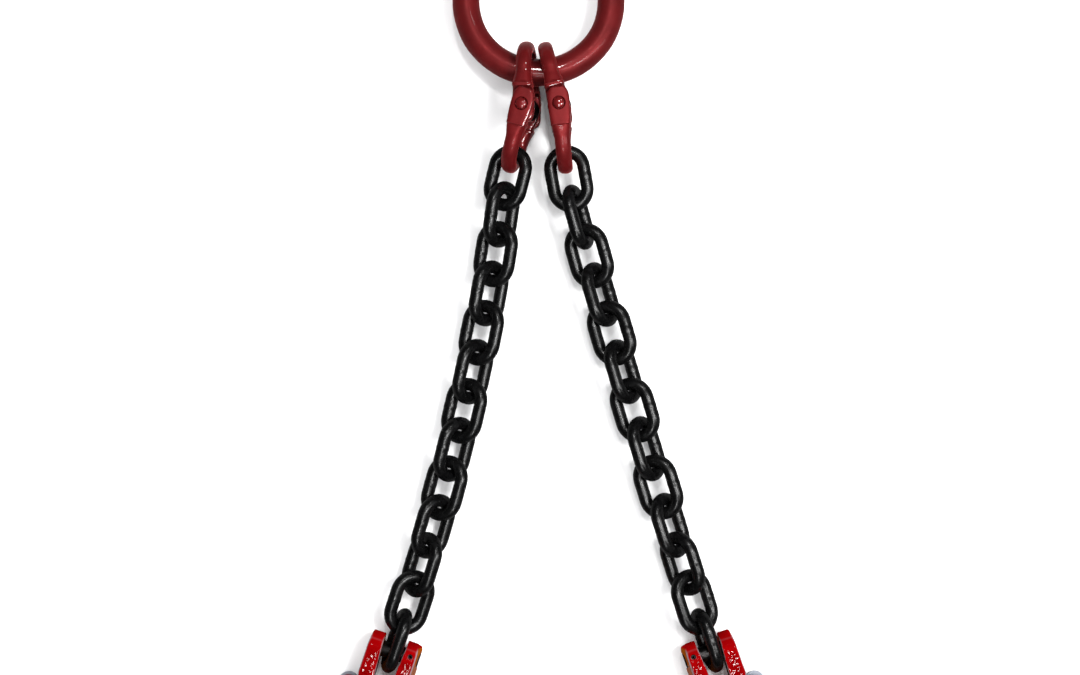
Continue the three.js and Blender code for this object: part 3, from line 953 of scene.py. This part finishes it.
def notch_solid():
    """Cutter for the slot between the ears."""
    outline = [(-9.4, 15), (-8.8, 10), (-7.3, -13)]
    outline += arc(0, NOTCH_FLOOR_Y + NOTCH_RADIUS, NOTCH_RADIUS, -180, 0, 20)
    outline += [(7.3, -13), (8.8, 10), (9.4, 15)]
    return prism(outline, -30, 30)


def latch_boss():
    """Boss on the hook's back that carries the latch rivet."""
    px, py = LATCH_PIVOT
    r = LATCH_BOSS_RADIUS
    outline = [(-12, -24), (px + 2, py + r)] + arc(px, py, r, 110, 250, 16) + [(-9, -40)]
    return prism(outline, -7.3, 1.6)


def add_hook_body(leg, seed):
    solids = [hook_bowl(), hook_yoke(), latch_boss()]
    name = f"{leg}_hook_forging"
    obj = fuse(name, solids, [notch_solid()], voxel=0.6, relax=6)
    shape_forging(obj, seed)
    bore(obj, HOOK_PIN_RADIUS, 30, 40, PIN_TO_X)
    bore(obj, RETAINER_RADIUS, 30, 24, TO_RETAINER)
    bore(obj, LATCH_RIVET_RADIUS, 30, 24, TO_LATCH_PIVOT)
    mark_surfaces(obj)
    smooth_shade(obj, 50)
    finish_piece(obj, hook_frame(leg), f"{leg}_hook", f"{leg}_hook_body", "bright_red_enamel")


def ear_share(point):
    """1 on the marked lower half of each ear's face, falling to 0 at its border."""
    across = abs(point.x)
    inner, outer = MARKED_ACROSS
    low, high = MARKED_LENGTHWISE
    lengthwise = min((point.y - low) / 3, (high - point.y) / 4)
    crosswise = min((across - inner) / 1.5, (outer - across) / 1.5)
    return clamped(min(lengthwise, crosswise))


def shape_forging(obj, seed):
    """Forging detail on the fused skin: raised marks on the ears and a parting line."""
    mesh = obj.data
    mesh.update()
    offset = Vector((seed * 11.7, seed * 4.3, seed * 8.9))
    moves = []
    for vertex in mesh.vertices:
        point = vertex.co
        normal = vertex.normal
        move = FORGED_WAVE * noise.noise(point / FORGED_WAVE_LENGTH + offset)
        if abs(normal.z) > 0.9:
            cell = noise.noise(point / MARK_SIZE + offset)
            move += MARK_HEIGHT * ear_share(point) * clamped(cell * 2.6)
        in_notch = abs(point.x) < 10 and point.y > NOTCH_FLOOR_Y - 0.6
        parting = abs(normal.z) < 0.45 and point.y < HOOK_EAR_TOP - 5
        if parting and not in_notch:
            move += PARTING_HEIGHT * math.exp(-((point.z / PARTING_HALF_WIDTH) ** 2))
        moves.append(normal * move)
    for vertex, move in zip(mesh.vertices, moves):
        vertex.co += move
    mesh.update()


def ear_depth(y):
    """Half depth of the hook's yoke at a height above the load pin."""
    height = min(0.995, max(0.0, y / HOOK_EAR_TOP))
    return HOOK_HALF_DEPTH * math.sqrt(1 - height * height)


def on_brown_side_wall(vertex):
    """1 on the yoke's upright walls, 0 on its faces, its top, the slot's floor and the bowl."""
    sideways = max(0.0, 1 - abs(vertex.normal.y) / 0.8)
    above_bowl = clamped((vertex.co.y + 60) / 14)
    below_top = clamped((HOOK_EAR_TOP - 0.8 - vertex.co.y) / 1.2)
    side = clamped((0.72 - abs(vertex.normal.z)) / 0.12)
    return side * (min(1.0, sideways * 2.5) * above_bowl * below_top)


def on_rim(vertex):
    """1 on the strip of the yoke's walls that is next to either face, where a grey highlight is
    painted.
    """
    outward = abs(vertex.co.z) / ear_depth(vertex.co.y)
    return clamped((outward - 0.78) / 0.05)


def mark_surfaces(obj):
    """Stores how far each point lies on a brown side wall, under the painted edge highlight, on
    the raised marks or in the glossy part.
    """
    mesh = obj.data
    mesh.update()
    stored = {"brown_side_wall": [], "painted_edge_highlight": [], "marked": [], "glossy": []}
    for vertex in mesh.vertices:
        side = on_brown_side_wall(vertex)
        rim = on_rim(vertex)
        on_face = abs(vertex.normal.z) > 0.6
        stored["brown_side_wall"].append(side * (1 - rim))
        # Painted highlight on the wall strip next to each face.
        stored["painted_edge_highlight"].append(0.9 * side * rim)
        stored["marked"].append(ear_share(vertex.co) if on_face else 0.0)
        stored["glossy"].append(clamped((-0.5 - vertex.co.y) / 3))
    for name, values in stored.items():
        store_on_points(mesh, name, values)


def add_hook_pin(leg):
    """Load pin with chamfered ends and a hole for the retaining pin."""
    r = HOOK_PIN_RADIUS
    low = 0.4 - HOOK_LATCH_SIDE
    high = HOOK_PLAIN_SIDE - 0.4
    profile = [
        (0, low), (r - 2.5, low), (r - 0.8, low), (r - 0.3, low + 0.35), (r, low + 0.8),
        (r, high - 0.8), (r - 0.3, high - 0.35), (r - 0.8, high), (r - 2.5, high), (0, high),
    ]
    obj = make_object(f"{leg}_clevis_pin", *turned(lathe(profile, 40), PIN_TO_X))
    bore(obj, RETAINER_RADIUS, 10, 20, TO_RETAINER)
    smooth_shade(obj, 40)
    finish_piece(obj, hook_frame(leg), f"{leg}_hook", f"{leg}_hook_pin", "dark_steel")


def add_retainer(leg):
    """Spring pin: a rolled tube with a slot along it."""
    outer = RETAINER_RADIUS
    inner = outer - 0.65
    end = HOOK_HALF_DEPTH - 1.9
    gap = math.radians(24)
    steps = 20
    rows = []
    for z, chamfer in ((-end, 0.3), (-end + 0.8, 0.0), (end - 0.8, 0.0), (end, 0.3)):
        ring = []
        for reach in (outer - chamfer, inner):
            side = []
            for i in range(steps + 1):
                angle = gap + (2 * math.pi - 2 * gap) * i / steps
                x = RETAINER_X + reach * math.cos(angle)
                side.append((x, RETAINER_Y + reach * math.sin(angle), z))
            ring.append(side)
        rows.append(ring[0] + ring[1][::-1])
    obj = make_object(f"{leg}_roll_pin", *loft(rows))
    smooth_shade(obj, 40)
    finish_piece(obj, hook_frame(leg), f"{leg}_hook", f"{leg}_hook_retainer", "dark_steel")


def latch_frame(leg):
    return hook_frame(leg) @ TO_LATCH_PIVOT


def add_latch(leg):
    """Pressed channel: two round-headed cheeks and a web along the throat side."""
    r = LATCH_CHEEK_RADIUS
    cheek = [(-1.2, -29), (3.5, -29)] + arc(0, 0, r, -8, 190, 32) + [(-6.9, -5), (-6.3, -9)]
    near = prism(cheek, LATCH_CHEEK_INNER, LATCH_CHEEK_OUTER)
    far = prism(cheek, -LATCH_CHEEK_OUTER, -LATCH_CHEEK_INNER)
    web = [
        (-7.5, -5), (-5.7, -5), (-4.6, -9), (-0.2, -25), (4.4, -41.5), (5.2, -46),
        (3.4, -46), (2.6, -42), (-2.1, -25), (-6.4, -9),
    ]
    back = prism(web, -LATCH_CHEEK_OUTER, LATCH_CHEEK_OUTER)
    obj = make_object(f"{leg}_latch_pressing", *near)
    boolean(obj, back, "UNION")
    boolean(obj, far, "UNION")
    bore(obj, LATCH_RIVET_RADIUS, 20, 28, Matrix.Identity(4))
    bevel(obj, width=0.42, segments=3)
    smooth_shade(obj, 35)
    finish_piece(obj, latch_frame(leg), f"{leg}_latch", f"{leg}_latch", "zinc_plate")


def add_rivet(leg):
    """Rivet with a low round head outside each cheek of the latch."""
    r = LATCH_RIVET_RADIUS
    face = LATCH_CHEEK_OUTER + 0.3
    half = [(r, face), (4.3, face), (4.5, face + 0.25), (4.35, face + 0.7)]
    for degrees in (30, 45, 60, 75, 90):
        angle = math.radians(degrees)
        half.append((4.6 * math.cos(angle), face + 2.0 * math.sin(angle)))
    profile = [(x, -z) for x, z in reversed(half)] + half
    obj = make_object(f"{leg}_rivet", *lathe(profile, 28))
    smooth_shade(obj, 45)
    finish_piece(obj, latch_frame(leg), f"{leg}_hook", f"{leg}_latch_rivet", "zinc_plate")


def add_spring(leg):
    """Torsion spring: a short coil round the rivet, and one arm along the latch."""
    coil = 3.9
    wire_radius = 0.6
    coil_start = 2.6
    coil_length = 4.0
    turns = 2.75
    steps = 66
    points = []
    for i in range(steps + 1):
        angle = -math.pi / 2 + 2 * math.pi * turns * i / steps
        z = coil_start + coil_length * i / steps
        points.append(Vector((coil * math.cos(angle), coil * math.sin(angle), z)))
    for end in (Vector((-3.9, -5, 6.6)), Vector((-0.2, -20, 6.6))):
        start = points[-1]
        points += [start.lerp(end, (i + 1) / 6) for i in range(6)]
    obj = make_object(f"{leg}_torsion_spring", *tube(points, wire_radius, 10))
    smooth_shade(obj, 50)
    finish_piece(obj, latch_frame(leg), f"{leg}_latch", f"{leg}_latch_spring", "spring_steel")


add_master_link()
for number, leg in enumerate(LEGS):
    add_bow(leg, upper=True)
    add_bow(leg, upper=False)
    add_load_pin(leg)
    add_sleeve(leg)
    for k in range(1, LINKS_PER_LEG + 1):
        add_link(leg, k)
    add_hook_body(leg, number + 1)
    add_hook_pin(leg)
    add_retainer(leg)
    add_latch(leg)
    add_rivet(leg)
    add_spring(leg)


# ---- floor, light and camera --------------------------------------------------------


# Name, place, aim, size and power: metres and watts. The key light is kept out of the gloss.
LAMPS = (
    ("key", (0.80, 0.25, 1.70), (0.0, 0.0, 0.0), (0.45, 0.45), 34.0, False),
    ("strip", (0.85, -0.10, 1.45), (0.0, -0.10, 0.0), (0.22, 1.2), 11.0),
    ("lamp", (0.02, 0.66, 1.70), (0.0, 0.1, 0.0), (0.10, 0.16), 7.5),
    ("far_lamp", (0.75, 1.20, 1.60), (0.0, 0.1, 0.0), (0.10, 0.14), 2.8),
)
# Lamps that are seen in the gloss only.
GLINTS = (
    ("glint", (0.0, -0.35, 1.70), (0.0, -0.2, 0.0), (0.25, 0.25), 8.0),
    ("side_glint", (0.62, -0.05, 1.70), (0.0, 0.1, 0.0), (0.2, 0.2), 9.0),
    ("low_glint", (0.0, -1.1, 1.70), (0.0, -0.3, 0.0), (0.25, 0.25), 8.0),
)


def add_floor():
    """Pale matt floor, which the glossy paint sees as much darker."""
    half = 6.0
    corners = [(-half, -half, 0), (half, -half, 0), (half, half, 0), (-half, half, 0)]
    floor = make_object("floor", corners, [(0, 1, 2, 3)])
    # Just under the sling, so that the two never share a plane.
    floor.location.z = -0.0002
    material, tree, shader, place = new_material("pale_floor")
    cloud = noise_node(tree, place, 3.0)
    colour = ramp_node(tree, cloud, 0.3, 0.7, *FLOOR_WHITE)
    path = tree.nodes.new("ShaderNodeLightPath")
    colour = mix_node(tree, path.outputs["Is Glossy Ray"], colour, FLOOR_IN_GLOSS)
    tree.links.new(colour, shader.inputs["Base Color"])
    shader.inputs["Roughness"].default_value = 0.9
    shader.inputs["Specular IOR Level"].default_value = 0.1
    floor.data.materials.append(material)


def add_area_light(name, place, aim, size, power, in_gloss=True, in_matt=True):
    """A lamp that can be left out of the reflections, or of the light on matt surfaces."""
    light = bpy.data.lights.new(name, "AREA")
    light.shape = "RECTANGLE"
    light.size = size[0]
    light.size_y = size[1]
    light.energy = power
    obj = bpy.data.objects.new(name, light)
    obj.location = place
    direction = Vector(aim) - Vector(place)
    obj.rotation_euler = direction.to_track_quat("-Z", "Y").to_euler()
    obj.visible_glossy = in_gloss
    obj.visible_diffuse = in_matt
    bpy.context.scene.collection.objects.link(obj)


def add_world():
    """Even light from all round, kept out of the reflections."""
    world = bpy.data.worlds.new("studio")
    bpy.context.scene.world = world
    world.use_nodes = True
    background = world.node_tree.nodes["Background"]
    background.inputs["Color"].default_value = (1.0, 1.0, 1.01, 1)
    background.inputs["Strength"].default_value = 1.12
    world.cycles_visibility.glossy = False


def add_camera():
    """Looks straight down. The view width is met at the subject's height."""
    middle = (-0.0092, -0.0092)
    height = 1.28
    subject_height = 0.018
    view_width = 0.798
    sensor_width = 36.0
    camera = bpy.data.cameras.new("camera")
    camera.sensor_fit = "HORIZONTAL"
    camera.sensor_width = sensor_width
    camera.lens = sensor_width * (height - subject_height) / view_width
    obj = bpy.data.objects.new("camera", camera)
    obj.location = (*middle, height)
    bpy.context.scene.collection.objects.link(obj)
    bpy.context.scene.camera = obj


add_floor()
add_world()
for lamp in LAMPS:
    add_area_light(*lamp)
for glint in GLINTS:
    add_area_light(*glint, in_matt=False)
add_camera()
bpy.context.scene.view_settings.view_transform = "Standard"
